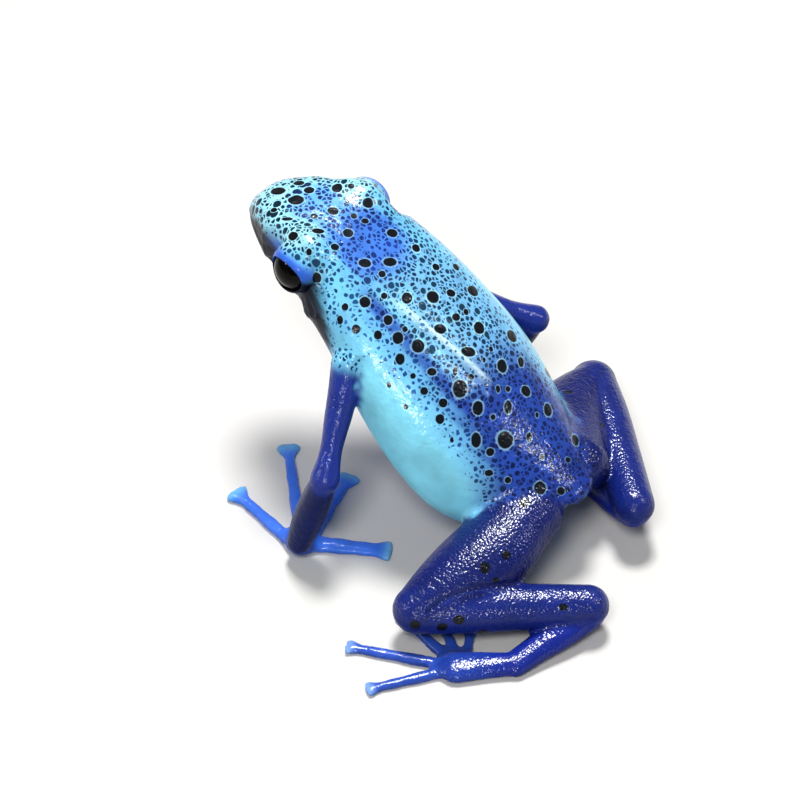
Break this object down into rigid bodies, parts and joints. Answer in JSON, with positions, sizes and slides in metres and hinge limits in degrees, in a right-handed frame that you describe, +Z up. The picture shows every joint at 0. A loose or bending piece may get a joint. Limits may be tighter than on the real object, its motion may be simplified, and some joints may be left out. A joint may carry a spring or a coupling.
{
  "type": "blue poison dart frog",
  "caption": "Life-size still model of a blue poison dart frog, sitting upright on its front legs with the hind legs folded.",
  "frame": {"origin": "middle of the footprint on the surface that the frog sits on", "axes": "the frog faces -Y, its left side is +X and +Z is up"},
  "size_m": [0.047, 0.0467, 0.0309],
  "materials": {
    "frog_skin_blue": "smooth moist skin, light cyan to ultramarine blue with round black spots and fine dark speckles",
    "frog_skin_deep_blue": "moist granular skin, deep ultramarine with a few black spots, lighter azure on the fingers and toes",
    "frog_eye_black": "glossy wet black eye"
  },
  "bodies": {
    "root": {"head": "frog_skin_blue", "torso": "frog_skin_blue", "eye_left": "frog_eye_black", "eye_right": "frog_eye_black", "upper_arm_left": "frog_skin_deep_blue", "forearm_left": "frog_skin_deep_blue", "hand_left": "frog_skin_deep_blue", "finger_1_left": "frog_skin_deep_blue", "finger_2_left": "frog_skin_deep_blue", "finger_3_left": "frog_skin_deep_blue", "finger_4_left": "frog_skin_deep_blue", "thigh_left": "frog_skin_deep_blue", "shank_left": "frog_skin_deep_blue", "tarsus_left": "frog_skin_deep_blue", "foot_left": "frog_skin_deep_blue", "toe_1_left": "frog_skin_deep_blue", "toe_2_left": "frog_skin_deep_blue", "toe_3_left": "frog_skin_deep_blue", "toe_4_left": "frog_skin_deep_blue", "toe_5_left": "frog_skin_deep_blue", "upper_arm_right": "frog_skin_deep_blue", "forearm_right": "frog_skin_deep_blue", "hand_right": "frog_skin_deep_blue", "finger_1_right": "frog_skin_deep_blue", "finger_2_right": "frog_skin_deep_blue", "finger_3_right": "frog_skin_deep_blue", "finger_4_right": "frog_skin_deep_blue", "thigh_right": "frog_skin_deep_blue", "shank_right": "frog_skin_deep_blue", "tarsus_right": "frog_skin_deep_blue", "foot_right": "frog_skin_deep_blue", "toe_1_right": "frog_skin_deep_blue", "toe_2_right": "frog_skin_deep_blue", "toe_3_right": "frog_skin_deep_blue", "toe_4_right": "frog_skin_deep_blue", "toe_5_right": "frog_skin_deep_blue"}
  },
  "joints": []
}
